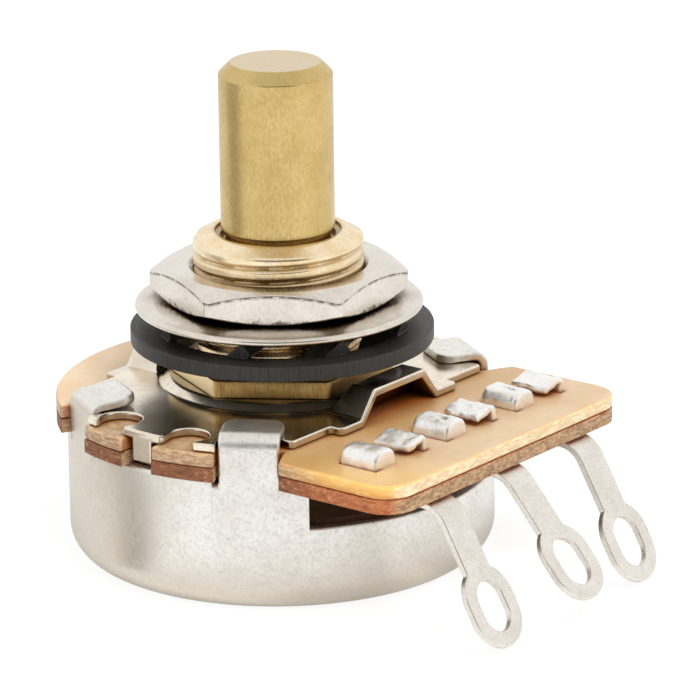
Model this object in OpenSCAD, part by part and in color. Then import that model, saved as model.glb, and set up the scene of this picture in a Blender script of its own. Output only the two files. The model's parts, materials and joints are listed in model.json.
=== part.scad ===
// Panel potentiometer, 24 mm, solid shaft, three solder lugs.
// Millimetres. The origin is the middle of the flat underside of the cup,
// +Z runs up the shaft, and the solder lugs point to -Y.

/* [Shaft] */
// Diameter of the solid shaft
shaft_d = 6.35; // [5:0.05:7.2]
// Length of shaft that stands above the bushing
shaft_reach = 9.55; // [5:0.05:25]
// Bevel round the shaft's free end
shaft_bevel = 0.65; // [0.2:0.05:1.2]
// Radial clearance of the bushing's bore round the shaft
shaft_clearance = 0.03; // [0.01:0.01:0.05]
// Depth of the undercut in the bushing's mouth, where the knob's seat ends
neck_depth = 0.25; // [0.2:0.01:0.5]
// Height of that undercut
neck_h = 0.7; // [0.6:0.05:1.5]
// Height above the bushing at which the undercut ends
knob_gap = 0.1; // [0.05:0.05:0.3]
// Diameter of the flatted tail that drives the rotor
tail_d = 4.8; // [3.8:0.1:5.2]
// Width across the two flats of the tail
tail_flats = 3.9; // [3:0.1:4.6]

/* [Bushing] */
// Outside diameter of the threaded part
thread_d = 9.525; // [9:0.005:10.4]
// Length of bushing above its hexagon
bushing_reach = 7.18; // [6.4:0.02:14]
// Width across the flats of the bushing's hexagon
hex_af = 11.1; // [10.6:0.1:12.4]
// Height of the bushing's hexagon
hex_h = 1.02; // [0.8:0.02:2.4]
// Angle at which the bushing is staked in the plate
hex_turn = 4; // [0:1:59]
// Bevel on top of the bushing, measured inward
bushing_bevel = 0.9; // [0.3:0.05:1]
// Depth of the recess round the shaft
mouth_depth = 0.25; // [0.1:0.05:0.6]

/* [Nut and washers] */
// Width across the flats of the nut
nut_af = 12.7; // [12:0.1:15]
// Height of the nut
nut_h = 1.95; // [1.4:0.05:3]
// Height of the chamfer at the nut's corners
nut_chamfer = 0.55; // [0.3:0.05:0.8]
// How far the nut's corners are turned off
nut_corner_cut = 0.12; // [0.02:0.02:0.3]
// Angle at which the nut is standing
nut_turn = 6; // [0:1:59]
// Outside diameter of the dress washer
dress_d = 16.1; // [14:0.1:18]
// Sheet of the dress washer
dress_t = 0.5; // [0.3:0.05:0.8]
// Drop of the dress washer's outer lip
dress_drop = 0.2; // [0.05:0.05:0.4]
// Outside diameter of the lock washer
lock_d = 17; // [16:0.1:20]
// Width of the lock washer's ring
lock_band = 1.75; // [1:0.05:2.4]
// How far the loose lock washer has slid to one side
lock_slide = 0.15; // [0:0.05:0.2]
// Sheet of the lock washer
lock_t = 0.86; // [0.5:0.02:1.1]
// Inner teeth of the lock washer
lock_teeth = 8; // [5:1:9]
// Width of one tooth
tooth_w = 3; // [2:0.1:3.2]
// Twist of each tooth
tooth_twist = 40; // [15:1:45]
// Slack left in the loose stack under the dress washer
stack_slack = 0.23; // [0.05:0.01:0.4]

/* [Mounting plate] */
// Sheet of the mounting plate
plate_t = 0.5; // [0.3:0.05:0.7]
// Raised seat for the bushing: height
seat_h = 0.5; // [0.3:0.05:0.7]
// Raised seat for the bushing: radius at its foot
seat_r = 6.7; // [6.2:0.1:6.8]
// Radius of the plate's lobes
plate_r = 12.35; // [12:0.05:12.5]
// Half the depth of the plate between its straight edges
plate_half = 7.7; // [7.4:0.1:8]
// Reach of the plate's middle tongues from the axis
tongue_reach = 8.5; // [8.2:0.1:8.9]
// Half the width of a tongue
tongue_half = 5.2; // [4.6:0.1:5.6]
// Height of the bridges over the board
bridge_h = 1.5; // [0.9:0.1:1.9]
// Half the width of a bridge at its foot
bridge_foot = 3.8; // [3.2:0.1:4.2]
// Half the width of a bridge at its top
bridge_top = 2.25; // [1.6:0.1:2.6]
// Distance of the plate's corners from its middle, along a straight edge
plate_corner = 8.55; // [8:0.05:9]
// Radius of the round notches beside each locating finger
notch_r = 1.15; // [0.8:0.05:1.2]
// Distance of the notches' middle inside the plate's round edge
notch_inset = 1.15; // [0.95:0.05:1.35]
// Angle from a finger to each of its notches
notch_angle = 12.4; // [11:0.2:12.8]
// Width of the locating finger
finger_w = 1.4; // [0.8:0.1:1.8]
// Distance of the locating finger's outer face inside the plate's round edge
finger_inset = 0.3; // [0.05:0.05:0.55]
// Depth of the finger below the plate's top
finger_l = 1.75; // [1:0.05:2]

/* [Wafers] */
// How far the round part of both wafers stands out past the plate
wafer_margin = 0.25; // [0.05:0.05:0.6]
// Thickness of the upper insulating wafer
insulator_t = 0.8; // [0.6:0.05:1.6]
// Thickness of the lower wafer that carries the track
element_t = 0.8; // [0.6:0.05:1.6]
// Half the width of the terminal board
board_half = 10.6; // [9.8:0.1:12]
// Reach of the terminal board from the axis
board_reach = 16.1; // [15.8:0.1:20]
// Rounding of the board's corners
board_corner = 1.7; // [0.5:0.1:3]
// Hole in the middle of both wafers
wafer_hole_r = 5.4; // [5.2:0.1:5.8]

/* [Cup] */
// Outside diameter of the cup
cup_d = 24; // [23.6:0.1:24.6]
// Height of the cup's rim
cup_h = 7.7; // [6.8:0.1:11]
// Sheet of the cup
cup_t = 0.5; // [0.35:0.05:0.6]
// Rounding of the cup's bottom edge
cup_round = 1.8; // [1:0.1:2.2]
// Bevel on the outside of the rim
rim_bevel = 0.3; // [0.1:0.05:0.4]
// Height of the sill under the opening by the board
sill_h = 4.95; // [4.5:0.05:5.2]
// Half the angle of that opening
opening_half = 44; // [36:1:48]
// Width of the folded tabs
tab_w = 3.35; // [2.4:0.05:3.8]
// Radius at which the tabs end
tab_end_r = 9.05; // [8.8:0.05:10]
// Inside radius of the fold at the top of each tab
tab_bend = 0.35; // [0.2:0.05:0.5]
// How far the left rear tab has sprung up, in degrees
tab_spring = 7; // [0:1:10]
// Angle of the front tabs from the middle of the board
tab_front = 59.5; // [57:0.5:62]
// Angle of the rear tabs from the middle of the board
tab_rear = 118.5; // [118:0.5:121]

/* [Terminals] */
// Spacing of the terminals
pitch = 6.3; // [5.6:0.05:7]
// Sheet of the terminals
lug_t = 0.4; // [0.25:0.05:0.5]
// Width of a lug's strip
lug_w = 2; // [1.4:0.1:2.6]
// Radius of the bend at the edge of the board
lug_bend = 1.8; // [1:0.1:2.4]
// How far inside the board's edge the bend starts
lug_back = 0.65; // [0.3:0.05:1]
// Angle through which the outer lugs are bent
lug_drop = 60; // [30:1:60]
// Angle through which the middle lug is bent
middle_drop = 49; // [30:1:60]
// From the end of the bend to the middle of the eye
lug_length = 5.07; // [3:0.01:5.4]
// Width of the eye's ring
eye_w = 3.76; // [3:0.02:4.4]
// Width of the hole in the eye
eye_hole_w = 2; // [1.2:0.1:2.4]
// Length of the hole in the eye
eye_hole_l = 2.88; // [2:0.02:3.4]
// Distance of the crimped ears from the axis
ear_at = 12.2; // [12:0.1:12.4]
// Length of each ear along the lug
ear_l = 2.4; // [1.6:0.1:2.6]
// Half the width over a pair of ears
ear_half = 2.3; // [2:0.05:2.6]

/* [Inside] */
// Thickness of the printed track and ring
film_t = 0.05; // [0.03:0.01:0.1]
// Middle radius of the resistance track
track_r = 9.4; // [9:0.1:9.8]
// Width of the resistance track
track_w = 1.7; // [1:0.1:2]
// Middle radius of the collector ring
ring_r = 7.15; // [6.9:0.05:7.4]
// Width of the collector ring
ring_w = 1.3; // [0.8:0.1:1.6]
// Gap left between the brushes and what they rub on
brush_gap = 0.04; // [0.02:0.01:0.1]
// Radius of the rotor
rotor_r = 9.4; // [8.6:0.1:9.6]
// Distance of the rotor's two studs from the axis
stud_at = 5; // [4.8:0.05:5.2]
// Thickness of the rotor
rotor_t = 1.5; // [1:0.1:2]
// Sheet of the brush spring
spring_t = 0.25; // [0.15:0.05:0.35]
// Sheet of the stop plate
stop_t = 0.5; // [0.3:0.05:0.7]
// Half the angle of the fixed stop in the cup
stop_half = 12; // [8:1:16]
// Full turn of the shaft between its stops
travel = 300; // [260:5:310]
// End play of the shaft
end_play = 0.06; // [0.03:0.01:0.15]

/* [Hidden] */
$fn = 96;
eps = 0.01;

// heights, from the table upward
cup_r = cup_d / 2;
element_z = cup_h;
insulator_z = element_z + element_t;
plate_z = insulator_z + insulator_t;
plate_top = plate_z + plate_t;
seat_top = plate_top + seat_h;
hex_top = seat_top + hex_h;
bushing_top = hex_top + bushing_reach;
shaft_top = bushing_top + shaft_reach;
tooth_rise = tooth_w / 2 * sin(tooth_twist) + lock_t / 2 * cos(tooth_twist);
lock_mid = hex_top + tooth_rise;
lock_way = -52;
wafer_r = plate_r + wafer_margin;
notch_at = plate_r - notch_inset;
finger_at = plate_r - finger_inset;
dress_z = lock_mid + tooth_rise + stack_slack;
nut_z = dress_z + dress_t;
lug_top = element_z - film_t;

// bushing foot, thrust washer and retaining ring
shaft_r = shaft_d / 2;
neck_r = shaft_r - neck_depth;
neck_top = bushing_top + knob_gap;
bore_r = shaft_r + shaft_clearance;
spigot_r = thread_d / 2 - 0.35;
stake_r = spigot_r + 0.5;
stake_h = 0.4;
foot_z = plate_top + seat_h - plate_t - stake_h;
thrust_t = 0.25;
thrust_z = foot_z - end_play - thrust_t;
clip_t = 0.4;
clip_play = 0.04;
clip_z = thrust_z - clip_t;
groove_r = shaft_r - 0.55;
clip_r = shaft_r + 1.4;

// rotor stack, seated under the shaft's shoulder
stop_z = cup_t + 2;
rotor_z = stop_z + stop_t;
rotor_top = rotor_z + rotor_t;
hub_h = 0.7;
hub_r = 3.9;
shoulder_z = rotor_top + hub_h;
tail_play = 0.05;
head_h = 0.6;
head_r = tail_d / 2 + 0.55;
brush_z = element_z - film_t - brush_gap;
tang_t = cup_t;
tang_z = sill_h - 0.15 - tang_t;
tang_r = rotor_r + 0.4;
arm_r = cup_r - cup_t - 1;
arm_t = 0.5;
ear_top = sill_h;
stop_gap = 0.8;
stop_hub_r = 5.6;
root_r = track_r + track_w / 2 + 0.35;
arm_half = 180 - travel / 2 - stop_half - stop_gap;

// plain helpers
module ring(r1, r2, h) {
    difference() {
        cylinder(r = r2, h = h);
        translate([0, 0, -1]) cylinder(r = r1, h = h + 2);
    }
}
module wedge(half, r = 30) {
    polygon([[0, 0], [r * sin(-half), r * cos(half)], [0, r * 1.5], [r * sin(half), r * cos(half)]]);
}
module arc_ring(r1, r2, h, from, to) {
    rotate([0, 0, from]) rotate_extrude(angle = to - from)
        translate([r1, 0]) square([r2 - r1, h]);
}
module at_tabs() {
    for (a = [-tab_rear, -tab_front, tab_front, tab_rear]) rotate([0, 0, a]) children();
}
module hexagon(af, h, turn) {
    rotate([0, 0, turn]) cylinder(d = af / cos(30), h = h, $fn = 6);
}
module tail_section(grow) {
    intersection() {
        circle(d = tail_d + 2 * grow);
        square([tail_flats + 2 * grow, tail_d * 2], center = true);
    }
}

// SHAFT: turned bar with a bevelled end, a clip groove and a flatted tail
module shaft() color("goldenrod") {
    difference() {
        rotate_extrude() polygon([
            [0, shoulder_z], [shaft_r, shoulder_z],
            [shaft_r, clip_z - clip_play], [groove_r, clip_z - clip_play],
            [groove_r, thrust_z], [shaft_r, thrust_z],
            [shaft_r, neck_top - neck_h], [neck_r, neck_top - neck_h],
            [neck_r, neck_top], [shaft_r, neck_top],
            [shaft_r, shaft_top - shaft_bevel], [shaft_r - shaft_bevel, shaft_top],
            [0, shaft_top]]);
    }
    translate([0, 0, stop_z - eps]) linear_extrude(shoulder_z - stop_z + 2 * eps) tail_section(0);
    translate([0, 0, stop_z - head_h]) cylinder(r1 = head_r - 0.3, r2 = head_r, h = head_h);
}

// BUSHING: hexagon, plain barrel on the thread's outside diameter, staked foot
module bushing() color("gold") {
    barrel_r = thread_d / 2;
    difference() {
        union() {
            translate([0, 0, seat_top]) intersection() {
                hexagon(hex_af, hex_h, hex_turn);
                rotate_extrude() polygon([[0, 0], [hex_af / 2 + 0.1, 0],
                    [hex_af / 2 + 0.75, 0.35], [hex_af / 2 + 0.75, hex_h - 0.3],
                    [hex_af / 2 + 0.25, hex_h], [0, hex_h]]);
            }
            rotate_extrude() polygon([[0, foot_z], [stake_r - 0.2, foot_z],
                [stake_r, foot_z + 0.2], [stake_r, foot_z + stake_h],
                [spigot_r, foot_z + stake_h], [spigot_r, seat_top + eps],
                [barrel_r, seat_top + eps], [barrel_r, bushing_top - bushing_bevel * 0.45],
                [barrel_r - bushing_bevel, bushing_top], [0, bushing_top]]);
        }
        translate([0, 0, foot_z - 1]) cylinder(r = bore_r, h = bushing_top - foot_z + 2);
        translate([0, 0, bushing_top - mouth_depth]) cylinder(r = shaft_r + 0.35, h = 1);
    }
}

// NUT: both faces chamfered to a circle just inside the corners
module hex_nut() color("silver") {
    corner = nut_af / 2 / cos(30);
    translate([0, 0, nut_z]) difference() {
        intersection() {
            hexagon(nut_af, nut_h, nut_turn);
            rotate_extrude() polygon([[0, 0], [nut_af / 2 - 0.25, 0],
                [corner - nut_corner_cut, nut_chamfer],
                [corner - nut_corner_cut, nut_h - nut_chamfer],
                [nut_af / 2 - 0.25, nut_h], [0, nut_h]]);
        }
        translate([0, 0, -1]) cylinder(r = thread_d / 2 + 0.02, h = nut_h + 2);
        translate([0, 0, nut_h - 0.3]) cylinder(r1 = thread_d / 2, r2 = thread_d / 2 + 0.4, h = 0.4);
    }
}

// DRESS WASHER: pressed ring with a lowered lip
module dress_washer() color("silver") {
    hole = thread_d / 2 + 0.2;
    out = dress_d / 2;
    translate([0, 0, dress_z]) rotate_extrude() polygon([
        [hole, 0], [out - 1.05, 0], [out - 0.7, -dress_drop], [out, -dress_drop],
        [out, dress_t - dress_drop], [out - 0.6, dress_t - dress_drop],
        [out - 0.95, dress_t], [hole, dress_t]]);
}

// LOCK WASHER: ring with twisted inner teeth
module lock_washer() color("dimgray") {
    inner = lock_d / 2 - lock_band;
    tip = thread_d / 2 + 0.3;
    translate([lock_slide * cos(lock_way), lock_slide * sin(lock_way), lock_mid]) {
        translate([0, 0, -lock_t / 2]) ring(inner, lock_d / 2, lock_t);
        difference() {
            for (i = [0 : lock_teeth - 1]) rotate([0, 0, i * 360 / lock_teeth + 14])
                rotate([tooth_twist, 0, 0]) translate([tip, -tooth_w / 2, -lock_t / 2])
                    cube([inner + 0.35 - tip, tooth_w, lock_t]);
            translate([0, 0, -3]) cylinder(r = tip, h = 6);
        }
    }
}

// MOUNTING PLATE: stamped sheet with a raised seat, two bridges, lobes and fingers
module plate_outline() {
    difference() {
        union() {
            intersection() {
                circle(r = plate_r);
                square([30, 2 * plate_half], center = true);
            }
            square([2 * tongue_half, 2 * tongue_reach], center = true);
        }
        for (s = [0, 180]) rotate([0, 0, s]) {
            for (m = [0, 1]) mirror([0, m]) rotate([0, 0, notch_angle]) translate([notch_at, 0]) {
                circle(r = notch_r);
                translate([0, -notch_r]) square([notch_r * 3, notch_r * 1.7]);
            }
            translate([finger_at, -notch_r * 1.6]) square([2, notch_r * 3.2]);
        }
        at_tabs() translate([-tab_w / 2 - 0.1, -30])
            square([tab_w + 0.2, 30 - cup_r + cup_t + tab_bend]);
        for (sx = [-1, 1]) for (sy = [-1, 1]) scale([sx, sy])
            translate([plate_corner, plate_half - 1]) square(9);
    }
}
module bridge_form(foot, top, low, high, reach, inner) {
    // trapezoid along Y, cut by the sloped rear end
    intersection() {
        translate([0, 0, 0]) rotate([90, 0, 0]) linear_extrude(reach)
            polygon([[-foot, low], [foot, low], [top, high], [-top, high]]);
        rotate([90, 0, 90]) translate([0, 0, -10]) linear_extrude(20)
            polygon([[-reach - 1, low], [-inner, low], [-inner - 0.9, high], [-reach - 1, high]]);
    }
}
module mounting_plate() color("lightgray") {
    slope = (bridge_foot - bridge_top);
    lip = seat_r - 0.45;
    wall = plate_t;
    difference() {
        union() {
            translate([0, 0, plate_z]) linear_extrude(plate_t) plate_outline();
            rotate_extrude() polygon([[0, plate_z], [seat_r, plate_z], [seat_r, plate_top],
                [lip, seat_top], [0, seat_top]]);
            for (m = [0, 1]) mirror([0, m, 0])
                bridge_form(bridge_foot, bridge_top, plate_z, plate_top + bridge_h,
                    tongue_reach, seat_r - 0.75);
            for (s = [0, 180]) rotate([0, 0, s])
                translate([finger_at - plate_t, -finger_w / 2, plate_top - finger_l])
                    cube([plate_t, finger_w, finger_l]);
        }
        // hollow under the seat and under the bridges
        translate([0, 0, plate_z - 1]) cylinder(r = spigot_r, h = 4);
        rotate_extrude() polygon([[0, plate_z - 1], [seat_r - wall * 0.9, plate_z - 1],
            [seat_r - wall * 0.9, plate_z], [lip - wall * 0.9, seat_top - wall],
            [0, seat_top - wall]]);
        for (m = [0, 1]) mirror([0, m, 0])
            bridge_form(bridge_foot - wall * 0.7, bridge_top - wall * 0.35, plate_z - 0.2,
                plate_top + bridge_h - wall, tongue_reach + 1, seat_r - 0.75 + wall * 1.1);
    }
}

// WAFERS: a disc with a terminal board, slots for the tabs, fingers and ears
module wafer_outline() {
    difference() {
        union() {
            circle(r = wafer_r);
            translate([-board_half, -board_reach + board_corner])
                square([2 * board_half, board_reach - board_corner - 5]);
            translate([-board_half + board_corner, -board_reach])
                square([2 * (board_half - board_corner), 5]);
            for (s = [-1, 1]) translate([s * (board_half - board_corner), -board_reach + board_corner])
                circle(r = board_corner);
        }
        circle(r = wafer_hole_r);
        at_tabs() translate([-tab_w / 2 - 0.15, -30]) square([tab_w + 0.3, 30 - cup_r + cup_t + 0.1]);
        for (s = [0, 180]) rotate([0, 0, s]) translate([finger_at - plate_t - 0.15, -finger_w / 2 - 0.35])
            square([4, finger_w + 0.7]);
        for (i = [-1, 0, 1]) for (s = [-1, 1])
            translate([i * pitch + s * (ear_half - lug_t / 2), -ear_at])
                square([lug_t + 0.1, ear_l + 0.1], center = true);
    }
}
module insulator_wafer() color("orange")
    translate([0, 0, insulator_z]) linear_extrude(insulator_t) wafer_outline();
module element_wafer() color("sienna")
    translate([0, 0, element_z]) linear_extrude(element_t) wafer_outline();

// CUP: drawn shell with an opening, an inward stop and four folded tabs
module cup_section(r, z0, round) {
    translate([0, z0 + round]) square([r, cup_h - z0 - round]);
    translate([0, z0]) square([r - round, round + eps]);
    translate([r - round, z0 + round]) intersection() {
        circle(r = round);
        translate([0, -round]) square([round, round + eps]);
    }
}
module tab_strip(spring) {
    // bent strip, seen from the side: y is out from the axis, z is up
    bend = tab_bend;
    top = plate_top + cup_t;
    intersection() {
        translate([tab_w / 2, 0, 0]) rotate([90, 0, -90]) linear_extrude(tab_w) difference() {
            union() {
                translate([cup_r - cup_t, cup_h - 0.6]) square([cup_t, top - cup_h + 0.6 - bend - cup_t]);
                translate([cup_r - bend - cup_t, top - bend - cup_t]) {
                    rotate(-spring) translate([tab_end_r - cup_r + bend + cup_t, bend])
                        square([cup_r - tab_end_r - bend - cup_t + eps, cup_t]);
                    intersection() {
                        circle(r = bend + cup_t);
                        square(3);
                        rotate(-spring) square(3);
                    }
                }
            }
            translate([cup_r - bend - cup_t, top - bend - cup_t]) circle(r = bend);
        }
        translate([0, 0, -1]) linear_extrude(30) union() {
            translate([-tab_w / 2, -20]) square([tab_w, 20 - tab_end_r - 0.8]);
            translate([-tab_w / 2 + 0.8, -20]) square([tab_w - 1.6, 20 - tab_end_r]);
            for (s = [-1, 1]) translate([s * (tab_w / 2 - 0.8), -tab_end_r - 0.8]) circle(r = 0.8);
        }
    }
}
module cup() color("gainsboro") {
    difference() {
        rotate_extrude() difference() {
            cup_section(cup_r, 0, cup_round);
            translate([0, 0]) cup_section(cup_r - cup_t, cup_t, cup_round - cup_t);
            polygon([[cup_r + 0.1, cup_h - rim_bevel - 0.1], [cup_r + 0.1, cup_h + 0.1],
                [cup_r - rim_bevel - 0.1, cup_h + 0.1]]);
        }
        translate([0, 0, sill_h]) rotate([0, 0, 180]) linear_extrude(10) wedge(opening_half);
        // relief at the root of each tab
        at_tabs() for (s = [-1, 1]) translate([s * (tab_w / 2 + 0.2) - 0.2, -cup_r - 1, cup_h - 0.35])
            cube([0.4, 3, 3]);
    }
    for (a = [-tab_front, tab_front, tab_rear]) rotate([0, 0, a]) tab_strip(0);
    rotate([0, 0, -tab_rear]) tab_strip(tab_spring);
    // fixed stop, pressed inward from the sill
    translate([0, 0, tang_z]) arc_ring(tang_r, cup_r - cup_t / 2, tang_t, -90 - stop_half, -90 + stop_half);
}

// TERMINALS: root under the wafer, two folded ears, bent lug with a long eye
module ear_front() {
    // half ring standing in the slot and curling inward
    curl = (ear_half - 0.45) / 2;
    base = plate_z + 0.02;
    translate([-ear_half, lug_top - lug_t]) square([lug_t, base - lug_top + lug_t + eps]);
    translate([-ear_half + curl, base]) intersection() {
        difference() {
            circle(r = curl);
            circle(r = curl - lug_t);
        }
        translate([-curl, 0]) square([2 * curl, curl]);
    }
}
module ear_rear() {
    // flattened ear, lying inward and down to the wafer
    base = plate_z + 0.3;
    translate([ear_half - lug_t, lug_top - lug_t]) square([lug_t, base - lug_top + lug_t]);
    translate([ear_half - lug_t, base]) intersection() {
        circle(r = lug_t);
        square(lug_t);
    }
    translate([ear_half - lug_t, base + lug_t]) rotate(-166)
        translate([0, -lug_t * 0.02]) square([ear_half - 1.1, lug_t]);
}
module terminal(x, drop, inner) {
    root_z = lug_top - lug_t;
    bend_y = lug_back - board_reach;
    end_y = bend_y - lug_bend * sin(drop);
    end_z = lug_top - lug_bend * (1 - cos(drop));
    slot = (eye_hole_l - eye_hole_w) / 2;
    translate([x, 0, 0]) {
        // root with its ears
        translate([-ear_half, -ear_at - ear_l / 2, root_z]) cube([2 * ear_half, ear_l, lug_t]);
        translate([0, -ear_at + ear_l / 2, 0]) rotate([90, 0, 0]) linear_extrude(ear_l) {
            ear_front();
            ear_rear();
        }
        // strip under the board
        translate([-lug_w / 2, bend_y, root_z]) cube([lug_w, -bend_y - inner, lug_t]);
        // bend over the edge
        translate([-lug_w / 2, bend_y, lug_top - lug_bend]) rotate([0, 90, 0]) rotate([0, 0, 180])
            rotate_extrude(angle = drop) translate([lug_bend - lug_t, 0]) square([lug_t, lug_w]);
        // straight part and eye
        translate([0, end_y, end_z]) rotate([drop, 0, 0]) mirror([0, 1, 0])
            translate([0, 0, -lug_t]) difference() {
                linear_extrude(lug_t) union() {
                    translate([-lug_w / 2, -eps]) square([lug_w, lug_length]);
                    for (s = [-slot, slot]) translate([0, lug_length + s]) circle(d = eye_w);
                    translate([-eye_w / 2, lug_length - slot]) square([eye_w, 2 * slot]);
                }
                translate([0, 0, -1]) linear_extrude(lug_t + 2) union() {
                    for (s = [-slot, slot]) translate([0, lug_length + s]) circle(d = eye_hole_w);
                    translate([-eye_hole_w / 2, lug_length - slot]) square([eye_hole_w, 2 * slot]);
                }
            }
    }
}
module terminal_left() color("whitesmoke") terminal(-pitch, lug_drop, root_r);
module terminal_middle() color("whitesmoke") terminal(0, middle_drop, ring_r);
module terminal_right() color("whitesmoke") terminal(pitch, lug_drop, root_r);

// PRINTED TRACK: carbon horseshoe, silvered ends and collector on the lower wafer
end_from = -90 + 16;
end_to = -90 + 36;
module resistance_track() color("black")
    translate([0, 0, lug_top]) arc_ring(track_r - track_w / 2, track_r + track_w / 2, film_t,
        end_to, 180 - end_to);
module track_end() {
    outer = track_r + track_w / 2;
    side = pitch - lug_w / 2;
    translate([0, 0, lug_top]) {
        arc_ring(track_r - track_w / 2, track_r + track_w / 2, film_t, end_from, end_to);
        translate([side, -ear_at, 0])
            cube([lug_w, ear_at - sqrt(pow(outer, 2) - pow(side + 0.3, 2)), film_t]);
    }
}
module track_end_right() color("silver") track_end();
module track_end_left() color("silver") mirror([1, 0, 0]) track_end();
module collector_ring() color("silver")
    translate([0, 0, lug_top]) ring(ring_r - ring_w / 2, ring_r + ring_w / 2, film_t);

// ROTOR: insulating disc with a hub and two studs for the brush spring
module rotor() color("saddlebrown") {
    difference() {
        union() {
            translate([0, 0, rotor_z]) cylinder(r = rotor_r, h = rotor_t);
            translate([0, 0, rotor_top - eps]) cylinder(r = hub_r, h = hub_h + eps);
            for (s = [-1, 1]) translate([s * stud_at, 0, rotor_top - eps]) {
                cylinder(r = 0.45, h = spring_t + 0.1, $fn = 32);
                translate([0, 0, spring_t + eps]) cylinder(r1 = 0.75, r2 = 0.45, h = 0.3, $fn = 32);
            }
        }
        translate([0, 0, stop_z - 1]) linear_extrude(8) tail_section(tail_play);
    }
}

// BRUSH SPRING: ring on the rotor with a middle finger and two outer fingers
module finger_section(tip_r) {
    // side view: y out from the axis, z up
    root = hub_r + 1.4;
    rise = brush_z - rotor_top - spring_t;
    polygon([[root, 0], [root + 0.5, 0], [tip_r - 0.35, rise - 0.1], [tip_r, rise + spring_t - 0.12],
        [tip_r + 0.35, rise - 0.35], [tip_r + 0.6, rise - 0.25], [tip_r + 0.25, rise + spring_t],
        [tip_r - 0.25, rise + spring_t], [root + 0.25, spring_t], [root, spring_t]]);
}
module brush_spring() color("peru") {
    translate([0, 0, rotor_top]) {
        difference() {
            cylinder(r = hub_r + 2, h = spring_t);
            translate([0, 0, -1]) cylinder(r = hub_r + 0.05, h = 3);
            for (s = [-1, 1]) translate([s * stud_at, 0, -1]) cylinder(r = 0.5, h = 3, $fn = 32);
        }
        for (f = [[-0.6, 1.2, ring_r], [-2, 1, track_r], [1, 1, track_r]])
            translate([f[0] + f[1], 0, 0]) rotate([90, 0, -90]) mirror([1, 0, 0])
                linear_extrude(f[1]) finger_section(f[2]);
    }
}

// STOP PLATE: keyed under the rotor, with an upright that meets the cup's stop
module stop_plate() color("slategray") {
    difference() {
        union() {
            translate([0, 0, stop_z]) cylinder(r = stop_hub_r, h = stop_t);
            translate([0, 0, stop_z]) arc_ring(stop_hub_r - 0.6, arm_r, stop_t, 90 - arm_half, 90 + arm_half);
            translate([0, 0, stop_z]) arc_ring(arm_r - arm_t, arm_r, ear_top - stop_z,
                90 - arm_half, 90 + arm_half);
        }
        translate([0, 0, stop_z - 1]) linear_extrude(4) tail_section(tail_play);
    }
}

// RETAINING RING AND THRUST WASHER, under the foot of the bushing
module retaining_ring() color("dimgray")
    translate([0, 0, clip_z]) difference() {
        ring(groove_r + 0.02, clip_r, clip_t);
        translate([0, -10, -1]) linear_extrude(3)
            polygon([[-1.6, 0], [1.6, 0], [1.6, 8.2], [0, 10], [-1.6, 8.2]]);
    }
module thrust_washer() color("gray")
    translate([0, 0, thrust_z]) ring(shaft_r + 0.06, stake_r - 0.1, thrust_t);

shaft();
bushing();
hex_nut();
dress_washer();
lock_washer();
mounting_plate();
insulator_wafer();
element_wafer();
cup();
terminal_left();
terminal_middle();
terminal_right();
resistance_track();
track_end_left();
track_end_right();
collector_ring();
rotor();
brush_spring();
stop_plate();
retaining_ring();
thrust_washer();
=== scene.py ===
import json
import math

import bmesh
import bpy
from mathutils import Matrix, Vector, noise


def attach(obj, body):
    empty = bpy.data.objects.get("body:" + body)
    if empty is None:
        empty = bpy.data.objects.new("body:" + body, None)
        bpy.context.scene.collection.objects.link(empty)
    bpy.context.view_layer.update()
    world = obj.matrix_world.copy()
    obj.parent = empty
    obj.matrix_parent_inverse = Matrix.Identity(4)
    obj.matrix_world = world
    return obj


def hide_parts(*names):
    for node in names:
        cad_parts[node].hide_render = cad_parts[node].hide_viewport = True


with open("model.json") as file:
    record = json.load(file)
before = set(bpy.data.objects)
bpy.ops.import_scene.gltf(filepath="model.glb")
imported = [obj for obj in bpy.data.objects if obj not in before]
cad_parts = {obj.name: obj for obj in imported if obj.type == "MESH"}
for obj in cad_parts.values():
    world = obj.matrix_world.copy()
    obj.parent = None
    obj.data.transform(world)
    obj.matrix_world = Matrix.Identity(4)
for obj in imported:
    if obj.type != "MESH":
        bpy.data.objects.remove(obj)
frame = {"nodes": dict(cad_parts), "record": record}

# Sizes are written in millimetres and turned into metres by MM.
MM = 0.001
scene = bpy.context.scene
nodes = frame["nodes"]
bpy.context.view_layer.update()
body_of_node = {
    n: body
    for body, members in frame["record"]["behaviour"]["bodies"].items()
    for n in members
}


# MESH HELPERS
def link(ob):
    """Put an object into the scene."""
    scene.collection.objects.link(ob)
    return ob


def make_mesh(name, verts, faces, smooth_angle=30):
    """A smooth mesh, sharp where its faces meet at more than so many degrees."""
    mesh = bpy.data.meshes.new(name)
    mesh.from_pydata(verts, [], faces)
    mesh.validate()
    for p in mesh.polygons:
        p.use_smooth = True
    mesh.set_sharp_from_angle(angle=math.radians(smooth_angle))
    return link(bpy.data.objects.new(name, mesh))


def finish_piece(ob, body, mat):
    """Give a piece its material and the body it rides on."""
    ob.data.materials.clear()
    ob.data.materials.append(mat)
    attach(ob, body)
    return ob


def grid_mesh(name, rows, close_rows=False, smooth_angle=35):
    """A skin over rows of points, each row a closed loop of equally many points in millimetres."""
    n = len(rows[0])
    verts = [tuple(c * MM for c in p) for row in rows for p in row]
    faces = []
    last = len(rows) if close_rows else len(rows) - 1
    for j in range(last):
        k = (j + 1) % len(rows)
        for i in range(n):
            m = (i + 1) % n
            faces.append((j * n + i, j * n + m, k * n + m, k * n + i))
    if not close_rows:
        faces.append(tuple(range(n - 1, -1, -1)))
        faces.append(tuple(range((len(rows) - 1) * n, len(rows) * n)))
    return make_mesh(name, verts, faces, smooth_angle)


def turned(profile, angle):
    """The points (radius, height) of a profile, at an angle round the axis."""
    return [(r * math.cos(angle), r * math.sin(angle), z) for r, z in profile]


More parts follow.
